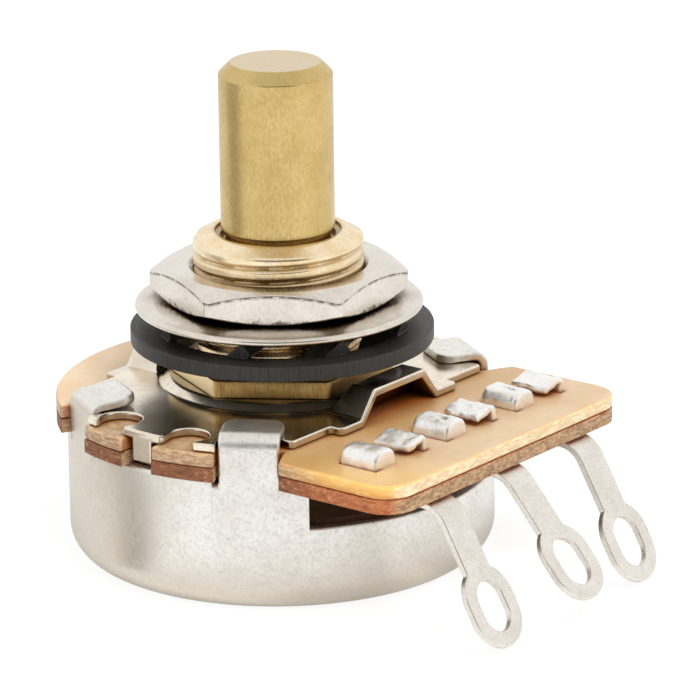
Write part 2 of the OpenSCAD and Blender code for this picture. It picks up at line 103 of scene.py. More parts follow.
def lathe(name, rings, smooth_angle):
    """A closed mesh over rings, each given by its radii round the axis and its height."""
    n = len(rings[0][0])
    angles = [2 * math.pi * i / n for i in range(n)]
    rows = [
        [(r * math.cos(a), r * math.sin(a), z) for r, a in zip(radii, angles)]
        for radii, z in rings
    ]
    return grid_mesh(name, rows, close_rows=True, smooth_angle=smooth_angle)


def quarter(n):
    """The angles of n steps through a right angle, without the first."""
    return [math.pi / 2 * i / n for i in range(1, n + 1)]


def soft_rectangle(w, h, c, flat=6):
    """Loop of (x, y) round a rectangle of half sizes w, h with corners of radius c."""
    turn, widest = 4, 0.98
    c = min(c, w * widest, h * widest)
    pts = []
    for sx, sy, a0 in ((1, 1, 0), (-1, 1, 90), (-1, -1, 180), (1, -1, 270)):
        for i in range(turn + 1):
            a = math.radians(a0 + 90 * i / turn)
            pts.append((sx * (w - c) + c * math.cos(a), sy * (h - c) + c * math.sin(a)))
        if a0 in (0, 180):
            for i in range(1, flat):
                pts.append((sx * (w - c) * (1 - 2 * i / flat), sy * h))
    return pts


def smooth(t):
    """A soft step from 0 to 1."""
    t = min(1.0, max(0.0, t))
    return t * t * (3 - 2 * t)


def wobble(x, y, z, seed, scale):
    """Smooth noise about zero at a point; seed picks another pattern."""
    return noise.noise(Vector((x * scale + seed * 7.3, y * scale - seed * 3.1, z * scale)))


def fair_copy(node, width, mat, segments=2, angle=28, edit=None, after=None):
    """A welded copy of a CAD node with its edges rounded by width, which stands for the node."""
    bm = bmesh.new()
    bm.from_mesh(nodes[node].data)
    bmesh.ops.remove_doubles(bm, verts=bm.verts, dist=1e-6)
    if edit:
        edit(bm)
    bmesh.ops.dissolve_limit(bm, angle_limit=math.radians(1.0), verts=bm.verts, edges=bm.edges)
    if after:
        after(bm)
    bm.normal_update()
    bm.verts.index_update()
    verts = [v.co.copy() for v in bm.verts]
    faces = [[v.index for v in f.verts] for f in bm.faces]
    bm.free()
    ob = make_mesh(node + "_fair", verts, faces, angle)
    bevel = ob.modifiers.new("edges", "BEVEL")
    bevel.width = width * MM
    bevel.segments = segments
    bevel.limit_method = "ANGLE"
    bevel.angle_limit = math.radians(angle)
    bevel.use_clamp_overlap = False
    bevel.harden_normals = True
    finish_piece(ob, body_of_node[node], mat)
    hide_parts(node)


# MATERIAL HELPERS
def combine(tree, op, a, b):
    """A maths node over two sockets or numbers."""
    m = tree.nodes.new("ShaderNodeMath")
    m.operation = op
    for i, v in enumerate((a, b)):
        if isinstance(v, (int, float)):
            m.inputs[i].default_value = v
        else:
            tree.links.new(v, m.inputs[i])
    return m.outputs[0]


class Paint:
    """A node material with coordinates in millimetres, fixed to the piece."""

    def __init__(self, name):
        self.mat = bpy.data.materials.new(name)
        self.mat.use_nodes = True
        self.nt = self.mat.node_tree
        self.bsdf = self.nt.nodes["Principled BSDF"]
        coord = self.nt.nodes.new("ShaderNodeTexCoord")
        self.normal = coord.outputs["Normal"]
        self.mm = self.scaled(coord.outputs["Object"], (1000, 1000, 1000))

    def scaled(self, vec, scale):
        """The vector, stretched along its axes."""
        m = self.nt.nodes.new("ShaderNodeMapping")
        m.inputs["Scale"].default_value = scale
        self.nt.links.new(vec, m.inputs["Vector"])
        return m.outputs["Vector"]

    def noise(self, scale, detail, rough, stretch=None, shift=0.0):
        """Noise of so many waves per millimetre; shift picks another pattern."""
        vec = self.scaled(self.mm, stretch) if stretch else self.mm
        n = self.nt.nodes.new("ShaderNodeTexNoise")
        n.noise_dimensions = "4D"
        n.inputs["W"].default_value = shift
        n.inputs["Scale"].default_value = scale
        n.inputs["Detail"].default_value = detail
        n.inputs["Roughness"].default_value = rough
        self.nt.links.new(vec, n.inputs["Vector"])
        return n.outputs["Fac"]

    def span(self, fac, lo, hi, a=0.0, b=1.0):
        """A soft step from a to b while the factor goes from lo to hi."""
        m = self.nt.nodes.new("ShaderNodeMapRange")
        m.interpolation_type = "SMOOTHSTEP"
        for key, v in zip(("From Min", "From Max", "To Min", "To Max"), (lo, hi, a, b)):
            m.inputs[key].default_value = v
        self.nt.links.new(fac, m.inputs["Value"])
        return m.outputs["Result"]

    def math(self, op, a, b):
        """A maths node in this material."""
        return combine(self.nt, op, a, b)

    def axis(self, vec, i):
        """One coordinate of a vector: 0 for x, 1 for y, 2 for z."""
        s = self.nt.nodes.new("ShaderNodeSeparateXYZ")
        self.nt.links.new(vec, s.inputs[0])
        return s.outputs[i]

    def mix(self, fac, a, b):
        """Colour a where the factor is 0, colour b where it is 1."""
        m = self.nt.nodes.new("ShaderNodeMix")
        m.data_type = "RGBA"
        ins = [m.inputs["Factor"], m.inputs[6], m.inputs[7]]
        for sock, v in zip(ins, (fac, a, b)):
            if isinstance(v, tuple):
                sock.default_value = (*v, 1)
            elif isinstance(v, (int, float)):
                sock.default_value = v
            else:
                self.nt.links.new(v, sock)
        return m.outputs[2]

    def set(self, key, value):
        """Give a colour, a number or a socket to an input of the shader."""
        sock = self.bsdf.inputs[key]
        if isinstance(value, tuple):
            sock.default_value = (*value, 1)
        elif isinstance(value, (int, float)):
            sock.default_value = value
        else:
            self.nt.links.new(value, sock)

    def bump(self, height, depth_mm):
        """A relief of the given depth."""
        b = self.nt.nodes.new("ShaderNodeBump")
        b.inputs["Distance"].default_value = depth_mm * MM
        b.inputs["Strength"].default_value = 1.0
        self.nt.links.new(height, b.inputs["Height"])
        return b.outputs["Normal"]

    def open_sky(self, near, reach_mm):
        """How open a spot is to the light, from 0 in a narrow gap to 1."""
        ao = self.nt.nodes.new("ShaderNodeAmbientOcclusion")
        ao.samples = 8
        ao.inputs["Distance"].default_value = reach_mm * MM
        return self.span(ao.outputs["AO"], near, 1.0)

    def facing(self, deg, lo, hi, most):
        """From 0 to most, where the surface faces a direction round the axis, in degrees."""
        a = math.radians(deg)
        nx = self.math("MULTIPLY", self.axis(self.normal, 0), math.cos(a))
        ny = self.math("MULTIPLY", self.axis(self.normal, 1), math.sin(a))
        return self.span(self.math("ADD", nx, ny), lo, hi, 0.0, most)

    def tint(self, fac, col):
        """Change the colour set so far where the factor is high."""
        old = self.bsdf.inputs["Base Color"].links[0].from_socket
        self.set("Base Color", self.mix(fac, old, col))

    def shade_gaps(self, near, reach_mm, col):
        """Paint shade over the colour set so far, in narrow gaps."""
        self.tint(self.math("SUBTRACT", 1.0, self.open_sky(near, reach_mm)), col)


def metal(
    name, light, dark, rough,
    patch=0.35, grain=7.0, depth=0.004, stretch=None, spots=0.0, mottle=0.12,
):
    """Metal with slow colour patches, a fine grain in colour and gloss, and small dark spots."""
    pit_shade, spot_shade = 0.45, 0.35
    p = Paint(name)
    slow = p.span(p.noise(patch, 4, 0.6), 0.35, 0.7)
    fine = p.noise(grain, 3, 0.6, stretch, 3.0)
    col = p.mix(slow, light, dark)
    col = p.mix(p.span(fine, 0.42, 0.66, 0.0, mottle), col, tuple(pit_shade * c for c in dark))
    if spots:
        dots = p.span(p.noise(4.2, 2, 0.5, None, 8.0), 0.66, 0.74)
        col = p.mix(p.math("MULTIPLY", dots, spots), col, tuple(spot_shade * c for c in dark))
    p.set("Base Color", col)
    p.set("Metallic", 1.0)
    p.set("Roughness", p.span(fine, 0.3, 0.7, rough * 0.8, rough * 1.25))
    p.set("Normal", p.bump(fine, depth))
    return p


def nickel_plate(name):
    """Bright nickel, a little uneven."""
    light, dark = (0.80, 0.745, 0.67), (0.71, 0.65, 0.57)
    return metal(name, light, dark, 0.22, patch=0.5, grain=5.0, spots=0.3)


def nut_with_painted_shade():
    """Nickel with a painted shadow line below the edge of the chamfer, and a dark rough lower rim
    that is partly burr and partly painted shadow.
    """
    top, r_in, r_out, drop, foot = 16.59, 6.1, 7.21, 0.55, 14.64
    p = nickel_plate("nut_nickel")
    x, y, z = (p.axis(p.mm, i) for i in range(3))
    r = p.math("SQRT", p.math("ADD", p.math("MULTIPLY", x, x), p.math("MULTIPLY", y, y)), 0.0)
    slope = drop / (r_out - r_in)
    cone = p.math("SUBTRACT", top, p.math("MULTIPLY", p.math("SUBTRACT", r, r_in), slope))
    below = p.math("SUBTRACT", cone, z)
    rough = p.noise(2.5, 3, 0.6, None, 12.0)
    upright = p.span(p.axis(p.normal, 2), 0.05, 0.35, 1.0, 0.0)
    # painted shadow: a dark line just below the edge of the chamfer, on the upright faces
    line = p.span(below, 0.06, 0.26, 1.0, 0.0)
    broken = p.span(rough, 0.38, 0.56, 0.25, 1.0)
    line = p.math("MULTIPLY", p.math("MULTIPLY", line, upright), broken)
    # dark lower rim: partly a rough burr, partly painted shadow where the nut meets the washer
    height = p.math("ADD", p.math("SUBTRACT", z, foot), p.span(rough, 0.3, 0.7, -0.22, 0.22))
    burr_and_shadow = p.span(height, 0.12, 0.36, 0.85, 0.0)
    p.tint(p.math("MAXIMUM", line, burr_and_shadow), (0.13, 0.095, 0.065))
    return p.mat


def black_oxide():
    """Blackened steel: fine upright marks on the rim, pale worn specks scattered over it."""
    p = Paint("black_steel")
    marks = p.noise(3.0, 3, 0.6, (3, 3, 0.35), 1.0)
    specks = p.span(p.noise(5.0, 2, 0.5, None, 5.0), 0.70, 0.76)
    base = p.mix(p.span(marks, 0.3, 0.7), (0.019, 0.018, 0.017), (0.044, 0.042, 0.038))
    p.set("Base Color", p.mix(p.math("MULTIPLY", specks, 0.8), base, (0.30, 0.29, 0.27)))
    p.set("Metallic", 0.35)
    p.set("Roughness", p.span(marks, 0.3, 0.7, 0.38, 0.55))
    p.set("Normal", p.bump(marks, 0.02))
    return p.mat


def tan_laminate():
    """Waxed tan laminate, golden to the front left, with a painted brown shadow by the plate, olive
    under the notches.
    """
    p = Paint("tan_phenolic")
    slow = p.span(p.noise(0.30, 4, 0.6), 0.35, 0.7)
    fibre = p.noise(2.2, 4, 0.65, (1, 1, 4), 2.0)
    flecks = p.span(p.noise(4.5, 3, 0.6, None, 7.0), 0.64, 0.72)
    x, y, z = (p.axis(p.mm, i) for i in range(3))
    streak = p.span(fibre, 0.42, 0.62)

    # where on the wafer: inside the case, under the left notches, to the front left, and the
    # painted shadow by the plate
    inner = p.span(y, -12.5, -7.5, 0.0, 1.0)
    left = p.span(x, -10.4, -8.6, 1.0, 0.0)
    notches = p.math("MULTIPLY", left, p.span(y, 3.6, 5.6, 0.85, 0.0))
    notches = p.math("MULTIPLY", notches, p.span(y, -8.0, -6.5))
    corner = p.span(p.math("ADD", x, p.math("MULTIPLY", y, 0.35)), -15.0, -9.0, 1.0, 0.0)
    before = p.span(y, -12.9, -9.2, 0.0, 0.74)
    plate_shadow = p.math("MULTIPLY", before, p.span(y, -8.0, -6.5, 1.0, 0.0))

    top = p.mix(slow, (0.72, 0.525, 0.32), (0.65, 0.43, 0.225))
    top = p.mix(inner, top, p.mix(slow, (0.86, 0.645, 0.41), (0.79, 0.53, 0.29)))
    top = p.mix(corner, top, (0.80, 0.51, 0.19))
    olive = p.mix(p.span(fibre, 0.35, 0.65), (0.34, 0.215, 0.10), (0.60, 0.43, 0.25))
    top = p.mix(notches, top, olive)
    # painted shadow: brown on the top of the wafer by the plate
    top = p.mix(plate_shadow, top, (0.52, 0.285, 0.085))

    golden = p.mix(p.span(z, 8.5, 9.2), (0.64, 0.27, 0.05), (0.90, 0.53, 0.13))
    golden = p.mix(p.span(fibre, 0.45, 0.68, 0.0, 0.55), golden, (0.95, 0.70, 0.30))
    dull = p.mix(streak, (0.36, 0.20, 0.10), (0.60, 0.42, 0.25))
    pale = p.mix(streak, (0.74, 0.53, 0.29), (0.94, 0.77, 0.51))
    front = p.span(p.math("MULTIPLY", p.axis(p.normal, 1), -1.0), 0.6, 0.98)
    edge = p.mix(inner, p.mix(front, golden, pale), dull)

    body = p.mix(p.span(p.axis(p.normal, 2), 0.45, 0.9), edge, top)
    body = p.mix(p.math("MULTIPLY", flecks, 0.45), body, (0.92, 0.76, 0.54))
    # painted shade: dark red where the wafer is hemmed in, as under the bridge of the plate
    p.set("Base Color", p.mix(p.open_sky(0.18, 2.3), (0.32, 0.08, 0.008), body))
    p.set("Roughness", p.span(fibre, 0.3, 0.7, 0.30, 0.42))
    p.set("Subsurface Weight", 0.3)
    p.set("Subsurface Scale", 0.0005)
    p.bsdf.inputs["Subsurface Radius"].default_value = (1.0, 0.45, 0.15)
    p.set("Coat Weight", 0.2)
    p.set("Coat Roughness", 0.3)
    p.set("Normal", p.bump(fibre, 0.010))
    return p.mat


def brown_laminate():
    """Brown paper laminate, rough at its sheared edge: redder at the sides, paler to the front."""
    p = Paint("brown_phenolic")
    fibre = p.noise(2.6, 5, 0.7, (1, 1, 3), 4.0)
    streak = p.span(fibre, 0.35, 0.65)
    specks = p.span(p.noise(3.4, 3, 0.6, (1, 1, 1.5), 9.0), 0.56, 0.68)
    front = p.span(p.math("MULTIPLY", p.axis(p.normal, 1), -1.0), 0.6, 0.98)
    inner = p.span(p.axis(p.mm, 1), -12.0, -8.0, 0.0, 1.0)
    red = p.mix(streak, (0.34, 0.08, 0.022), (0.54, 0.19, 0.065))
    dark = p.mix(streak, (0.13, 0.042, 0.013), (0.30, 0.11, 0.042))
    pale = p.mix(streak, (0.24, 0.12, 0.06), (0.58, 0.38, 0.21))
    body = p.mix(front, p.mix(inner, red, dark), pale)
    p.set("Base Color", p.mix(p.math("MULTIPLY", specks, 0.45), body, (0.72, 0.46, 0.20)))
    p.set("Roughness", 0.6)
    p.set("Subsurface Weight", 0.1)
    p.set("Subsurface Scale", 0.0003)
    p.set("Normal", p.bump(fibre, 0.05))
    return p.mat


def plain(name, light, dark, rough):
    """A dull surface with slight patches."""
    p = Paint(name)
    n = p.noise(4.0, 4, 0.6)
    p.set("Base Color", p.mix(p.span(n, 0.35, 0.65), light, dark))
    p.set("Roughness", p.span(n, 0.3, 0.7, rough * 0.9, rough * 1.1))
    p.set("Normal", p.bump(n, 0.01))
    return p.mat


# FINISHES: of each metal a light and a dark tone and the roughness, then how its grain lies
p = metal(
    "shaft_brass", (0.68, 0.505, 0.215), (0.59, 0.43, 0.165), 0.30,
    patch=0.5, depth=0.003, stretch=(1, 1, 0.5),
)
end_face = p.span(p.axis(p.normal, 2), 0.85, 0.97)
p.tint(end_face, (0.70, 0.565, 0.36))
shaft_brass = p.mat

# painted reflection: the hexagon's copy of the bushing's brass is set darker than the barrel's, for
# the dark plate and lock washer it reflects
p = metal(
    "hex_brass", (0.66, 0.43, 0.165), (0.48, 0.29, 0.095), 0.38,
    patch=0.8, grain=5.0, depth=0.02, stretch=(4, 4, 0.25), mottle=0.55,
)
# painted highlight: the faces turned towards 154 degrees, on the left, are made bright gold
p.tint(p.facing(154, 0.75, 0.95, 1.0), (1.0, 0.82, 0.50))
hex_brass = p.mat

# painted light: the barrel's copy of the same brass is set paler than the hexagon's
p = metal(
    "bushing_brass", (0.97, 0.82, 0.58), (0.88, 0.68, 0.40), 0.26,
    patch=0.8, grain=6.0, depth=0.002, spots=0.25,
)
# painted shade: dark brown in the narrow gaps, as beside the shaft
p.shade_gaps(0.15, 1.0, (0.30, 0.17, 0.05))
bushing_brass = p.mat

p = metal(
    "plate_steel", (0.94, 0.855, 0.72), (0.79, 0.69, 0.55), 0.19,
    patch=0.6, grain=9.0, depth=0.0014, spots=0.5, mottle=0.14,
)
# painted shade and painted reflection: near black in the gaps round the hexagon and under the
# washers, for their shadow and the black lock washer reflected
p.shade_gaps(-0.1, 2.2, (0.05, 0.036, 0.02))
plate_steel = p.mat

# painted shade: the cup is darker low down, where it reflects the shadowed floor, and painted
# reflection: darker round its left, for a dark zone to the left
p = metal(
    "cup_tin", (0.92, 0.90, 0.85), (0.84, 0.81, 0.75), 0.40,
    patch=0.45, grain=6.5, depth=0.005, spots=0.4, mottle=0.22,
)
low = p.span(p.axis(p.mm, 2), 0.9, 4.2, 0.85, 0.0)
p.tint(p.math("MAXIMUM", low, p.facing(150, 0.68, 0.95, 0.85)), (0.67, 0.61, 0.52))
cup_tin = p.mat

p = nickel_plate("nickel")
# painted shade: dark brown in narrow gaps, as on the dress washer under the nut
p.shade_gaps(0.35, 1.3, (0.16, 0.11, 0.065))
nickel = p.mat

lug_tin = metal(
    "lug_tin", (0.87, 0.835, 0.77), (0.79, 0.745, 0.67), 0.36,
    patch=0.7, depth=0.005, spots=0.25, mottle=0.18,
).mat
ear_tin = metal(
    "ear_tin", (1.0, 0.99, 0.965), (0.95, 0.93, 0.89), 0.40,
    patch=0.7, grain=6.0, depth=0.006, spots=0.3,
).mat
spring_bronze = metal("spring_bronze", (0.72, 0.46, 0.24), (0.62, 0.36, 0.18), 0.28).mat
spring_steel = metal("spring_steel", (0.45, 0.45, 0.46), (0.36, 0.36, 0.37), 0.3).mat
silver_ink = metal("silver_ink", (0.72, 0.72, 0.73), (0.6, 0.6, 0.61), 0.5).mat
nut_nickel = nut_with_painted_shade()
black_steel = black_oxide()
tan = tan_laminate()
brown = brown_laminate()
carbon = plain("carbon", (0.02, 0.02, 0.02), (0.035, 0.033, 0.03), 0.6)
rotor_mat = plain("rotor_phenolic", (0.16, 0.09, 0.05), (0.22, 0.12, 0.07), 0.45)


# BUSHING: the hexagon with its foot, and the barrel with a real right-hand thread
BARREL_R, BORE_R, TOP, PITCH = 4.7625, 3.2, 18.5, 25.4 / 32


def thread_r(theta, z):
    """Radius of the threaded barrel, with the bevel at its end."""
    depth, groove, start, runout = 0.22, 0.60, 11.5, 0.6
    bevel, bevel_in, soft, soft_in = 0.45, 0.85, 0.12, 0.05
    phase = (z / PITCH - theta / (2 * math.pi) + 0.1) % 1.0
    away = abs(phase - 0.5) * 2
    cut = smooth(1 - away / groove)
    r = BARREL_R - depth * cut * smooth((z - start) / runout)
    over = z - (TOP - bevel)
    if over > 0:
        r = min(r, BARREL_R - soft_in - bevel_in * over / bevel)
    elif over > -soft:
        r = min(r, BARREL_R - soft_in * (1 + over / soft))
    return r


def threaded_barrel():
    """The barrel from inside the hexagon to its end, with a step round the bore."""
    segs, steps_per_turn = 168, 13
    base_r, base_z, z = 4.6, 11.30, 11.33
    angles = [2 * math.pi * i / segs for i in range(segs)]
    rings = [([base_r] * segs, base_z)]
    while z < TOP - 0.02:
        rings.append(([thread_r(a, z) for a in angles], z))
        z += PITCH / steps_per_turn
    # the end face and the step, as radius and depth below the end
    mouth = (
        (3.84, 0.01), (3.78, 0), (3.60, 0), (3.54, 0.03), (3.53, 0.22), (3.50, 0.25),
        (BORE_R + 0.04, 0.25), (BORE_R, 0.29),
    )
    rings += [([r] * segs, TOP - below) for r, below in mouth]
    rings.append(([BORE_R] * segs, base_z))
    ob = lathe("bushing_barrel", rings, 50)
    return finish_piece(ob, "housing", bushing_brass)


def hexagon_foot():
    """The brushed hexagon that stands on the plate's seat, and the foot staked below it."""
    across_flats, corner_r, turn, bore, segs = 11.1, 6.33, 4.0, 3.205, 240
    spigot, stake, foot, seat, top = 4.4125, 4.9125, 9.4, 10.31, 11.32

    def outline(i):
        a = (360.0 * i / segs - turn) % 60 - 30
        return min(across_flats / 2 / math.cos(math.radians(a)), corner_r)

    # radius and height on the foot, then depth inside the outline and height on the hexagon
    round_part = (
        (bore, foot), (stake - 0.2, foot), (stake, foot + 0.2), (stake, foot + 0.38),
        (spigot, foot + 0.4), (spigot, seat),
    )
    flats = ((0.04, seat), (0, 10.36), (0, 11.08), (0.05, 11.24), (0.16, top))
    rings = [([r] * segs, z) for r, z in round_part]
    rings += [([outline(i) - inset for i in range(segs)], z) for inset, z in flats]
    rings.append(([bore] * segs, top))
    ob = lathe("bushing_hexagon", rings, 22)
    return finish_piece(ob, "housing", hex_brass)


barrel = threaded_barrel()
hexagon = hexagon_foot()
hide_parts("bushing")
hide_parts("bushing")


# WASHERS AND PLATE: the dress washer, and edits for the lock washer and the plate
def washer():
    """The dress washer: flat under the nut, falling in a soft curve to a rounded rim."""
    segs, bore, top, low = 168, 4.965, 14.64, 14.14
    lip_r, lip_z, lip = 7.85, 14.24, 0.2
    drop, start, reach = 0.2, 6.75, 1.15

    def fall(r):
        return -drop * smooth((r - start) / reach)

    upper = [(r, top + fall(r)) for r in (5.02, 5.6, 6.2, 6.7, 6.9, 7.1, 7.3, 7.5, 7.7, lip_r)]
    rim = [
        (lip_r + lip * math.sin(t), lip_z + lip * math.cos(t))
        for t in (math.pi / 6 * i for i in range(1, 6))
    ]
    lower = [(r, low + fall(r) * 0.5) for r in (lip_r, 7.5, 7.1, 6.7, 5.6, 5.02)]
    profile = [(bore, 14.2), (bore, 14.58)] + upper + rim + lower
    rows = [turned(profile, 2 * math.pi * i / segs) for i in range(segs)]
    ob = grid_mesh("washer_soft", rows, close_rows=True, smooth_angle=40)
    finish_piece(ob, "housing", nickel)
    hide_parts("dress_washer")


washer()


def settle_teeth(bm):
    """Press the lower edges of the lock washer's twisted teeth nearly flush with its ring."""
    middle, thick, left = 12.61, 0.86, 0.25
    low = middle * MM - thick / 2 * MM
    for v in bm.verts:
        if v.co.z < low - 1e-5:
            v.co.z = low - (low - v.co.z) * left


def round_uprights(size, low, high, beyond):
    """Round a sheet's upright edges past a radius, between two heights, before its other edges."""
    upright, bend, room = 0.98, math.radians(40), 2.4

    def work(bm):
        edges = []
        for e in bm.edges:
            a, b = e.verts[0].co, e.verts[1].co
            d = b - a
            mid = (a + b) / 2
            if not low * MM < mid.z < high * MM or math.hypot(mid.x, mid.y) <= beyond * MM:
                continue
            if abs(d.z) < upright * d.length or not e.is_manifold or e.calc_face_angle(0) < bend:
                continue
            # faces too narrow for the rounding are left out
            if min(f.calc_area() for f in e.link_faces) > room * size * MM * d.length:
                edges.append(e)
        bmesh.ops.bevel(
            bm, geom=edges, offset=size * MM, offset_type="OFFSET", segments=4,
            profile=0.5, affect="EDGES", clamp_overlap=True,
        )

    return work


# RIGID PIECES: the CAD forms with rounded edges
fair_copy("shaft", 0.07, shaft_brass, 3)
fair_copy("hex_nut", 0.07, nut_nickel, 3, 20)
fair_copy("lock_washer", 0.08, black_steel, 2, after=settle_teeth)
fair_copy(
    "mounting_plate", 0.13, plate_steel, 3, 26,
    after=round_uprights(0.25, low=9.4, high=9.9, beyond=6.8),
)
fair_copy("insulator_wafer", 0.18, tan, 4)
fair_copy("element_wafer", 0.05, brown, 2)


# CUP: drawn shell with the opening under the board, and four strips folded over the stack
CUP_R, CUP_T, RIM, SILL, ROUND = 12.0, 0.5, 7.7, 4.95, 1.8
# in degrees: half the opening, the middle of each tab, and how far each springs back
OPENING, TAB_AT, SPRING_BACK = 44.0, (-149.5, -30.5, 28.5, 151.5), (0, 0, 0, 7)
# the reliefs beside a tab, from and to so many degrees off its middle, and their height
RELIEF, RELIEF_Z = (8.05, 9.85), 7.4


def rim_height(deg):
    """Height of the wall at an angle, with the opening and the reliefs beside the tabs."""
    if abs((deg + 90 + 180) % 360 - 180) < OPENING:
        return SILL
    for t in TAB_AT:
        if RELIEF[0] < abs((deg - t + 180) % 360 - 180) < RELIEF[1]:
            return RELIEF_Z
    return RIM


def cup_shell():
    """The shell as profiles round the axis, closer together where the wall's height changes."""
    pole, inner, small = 0.01, CUP_R - CUP_T, ROUND - CUP_T
    clear, wide, near = 0.4, 0.12, 0.02
    steps = [-90 - OPENING, -90 + OPENING]
    steps += [t + s * d for t in TAB_AT for s in (-1, 1) for d in RELIEF]
    marks = set(range(-180, 180, 2))
    for m in steps:
        marks = {a for a in marks if abs(a - m) > clear}
        marks |= {m - wide, m - near, m + near, m + wide}
    rows = []
    for deg in sorted(marks):
        top = rim_height(deg)
        lip = 0.28 if top > SILL else 0.12
        profile = [(pole, 0.0), (6.0, 0.0), (CUP_R - ROUND, 0.0)]
        profile += [
            (CUP_R - ROUND + ROUND * math.sin(t), ROUND - ROUND * math.cos(t))
            for t in quarter(12)
        ]
        profile += [(CUP_R, ROUND + (top - lip - ROUND) * f) for f in (0.25, 0.5, 0.75, 1.0)]
        profile += [
            (CUP_R - lip + lip * math.cos(t), top - lip + lip * math.sin(t))
            for t in quarter(5)
        ]
        profile += [(inner + 0.06, top), (inner, top - 0.06), (inner, top - 0.4), (inner, ROUND)]
        profile += [
            (inner - small + small * math.cos(t), ROUND - small * math.sin(t))
            for t in quarter(6)
        ]
        profile += [(5.0, CUP_T), (pole, CUP_T)]
        rows.append(turned(profile, math.radians(deg)))
    ob = grid_mesh("cup_shell", rows, close_rows=True, smooth_angle=32)
    finish_piece(ob, "housing", cup_tin)
    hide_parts("cup")


def drawn_in(radius, e):
    """How far a rounded corner draws a side in, at a distance e from the end."""
    return radius - math.sqrt(max(0.0, radius ** 2 - (radius - e) ** 2)) if e < radius else 0.0


def tab(name, deg, spring):
    """A strip that leaves the wall, bends over the plate and ends in round corners."""
    half_w, half_t, bend, corner, lip = 1.675, 0.25, 0.35, 0.85, 0.16
    end_r, top, far = 9.05, 10.3, 9.0
    wall = (6.5, 6.9, 7.3, 7.6, 7.9, 8.2, 8.5, 8.8, 9.1, 9.35)
    tip = (1.6, 1.3, 1.05, 0.85, 0.7, 0.55, 0.42, 0.3, 0.2, 0.12, 0.06, 0.02, 0.0)

    # steps up the wall, round the bend and to the tip: a point (radius, height), the way out of
    # the sheet, and the distance from the tip
    c_r, c_z, rad = CUP_R - bend - CUP_T, top - bend - CUP_T, bend + half_t
    path = [((CUP_R - half_t, z), (1.0, 0.0), far) for z in wall]
    turn = math.radians(90 - spring)
    for i in range(13):
        t = turn * i / 12
        point = (c_r + rad * math.cos(t), c_z + rad * math.sin(t))
        path.append((point, (math.cos(t), math.sin(t)), far))
    n = (math.cos(turn), math.sin(turn))
    start = (c_r + rad * n[0], c_z + rad * n[1])
    for e in tip:
        d = CUP_R - end_r - bend - CUP_T - e
        path.append(((start[0] - n[1] * d, start[1] + n[0] * d), n, e))

    a = math.radians(deg)
    out, side = (math.cos(a), math.sin(a)), (-math.sin(a), math.cos(a))
    rows = []
    for k, ((r, z), (nr, nz), e) in enumerate(path):
        flat = smooth((z - 7.2) / 1.3) if k < len(wall) else 1.0
        row = []
        for u, v in soft_rectangle(half_w - drawn_in(corner, e), half_t - drawn_in(lip, e), 0.14):
            bulge = (1 - flat) * (CUP_R - math.sqrt(CUP_R ** 2 - u * u) - 0.004)
            puff = 0.03 * wobble(u, z, r, deg * 0.01, 0.9) if k >= len(wall) - 1 else 0.0
            rr = r + nr * (v + puff) - bulge
            zz = z + nz * (v + puff)
            row.append((rr * out[0] + u * side[0], rr * out[1] + u * side[1], zz))
        rows.append(row)
    ob = grid_mesh(name, rows, smooth_angle=50)
    finish_piece(ob, "housing", cup_tin)
    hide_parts("cup")


def inward_stop():
    """The fixed stop pressed inward from the sill, 12 degrees to each side of the middle."""
    profile = [(9.8, 4.32), (9.86, 4.3), (11.7, 4.3), (11.7, 4.8), (9.86, 4.8), (9.8, 4.78)]
    rows = [turned(profile, math.radians(-102 + 2 * i)) for i in range(13)]
    ob = grid_mesh("cup_stop", rows)
    finish_piece(ob, "housing", cup_tin)
    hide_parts("cup")


cup_shell()
for k, (deg, spring) in enumerate(zip(TAB_AT, SPRING_BACK)):
    tab("cup_tab_%d" % (k + 1), deg, spring)
inward_stop()


# LUGS: the CAD forms below the board, and crimped ears above it
EAR_FOOT = 9.16


def drop_ears(bm):
    """Cut the plain ears off the CAD form, just above their foot."""
    cut_z = 9.2
    geom = bm.verts[:] + bm.edges[:] + bm.faces[:]
    bmesh.ops.bisect_plane(
        bm, geom=geom, plane_co=(0, 0, cut_z * MM), plane_no=(0, 0, 1), clear_outer=True
    )
    bmesh.ops.holes_fill(bm, edges=[e for e in bm.edges if e.is_boundary], sides=0)


def ear_hump(name, node, x, seed, slit):
    """The front ear, curled over and pressed shut: a short blunt loaf, with a slit if asked."""
    cx, y0, y1, r = x - 1.375, -13.42, -10.98, 0.94
    nu, nv, end, sunk = 56, 30, 0.3, 0.14
    rows = []
    for j in range(nv + 1):
        f = j / nv
        y = y0 + (y1 - y0) * (0.5 - 0.5 * math.cos(math.pi * f))
        e = min(y - y0, y1 - y)
        k = 1.0 if e > end else 0.80 + 0.20 * math.sqrt(max(0.0, 1 - (1 - e / end) ** 2))
        row = []
        for i in range(nu + 1):
            t = math.pi * i / nu
            c, q = math.cos(t), math.sin(t)
            px = r * k * math.copysign(abs(c) ** 0.72, c)
            pz = r * k * q ** 0.78
            g = 1 + 0.055 * wobble(px, y, pz, seed, 1.3) + 0.03 * wobble(px, y, pz, seed + 5, 3.0)
            if slit:
                s = math.exp(-((px + 0.12 - 0.10 * math.sin(3 * y)) / 0.10) ** 2)
                s *= smooth((y + 12.85) / 0.25) * smooth((-11.85 - y) / 0.25)
                g -= 0.30 * s
            row.append((cx + px * g, y, EAR_FOOT + pz * g + sunk * min(1.0, q * 3)))
        rows.append(row)
    ob = grid_mesh(name, rows, smooth_angle=45)
    finish_piece(ob, "housing", ear_tin)
    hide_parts(node)


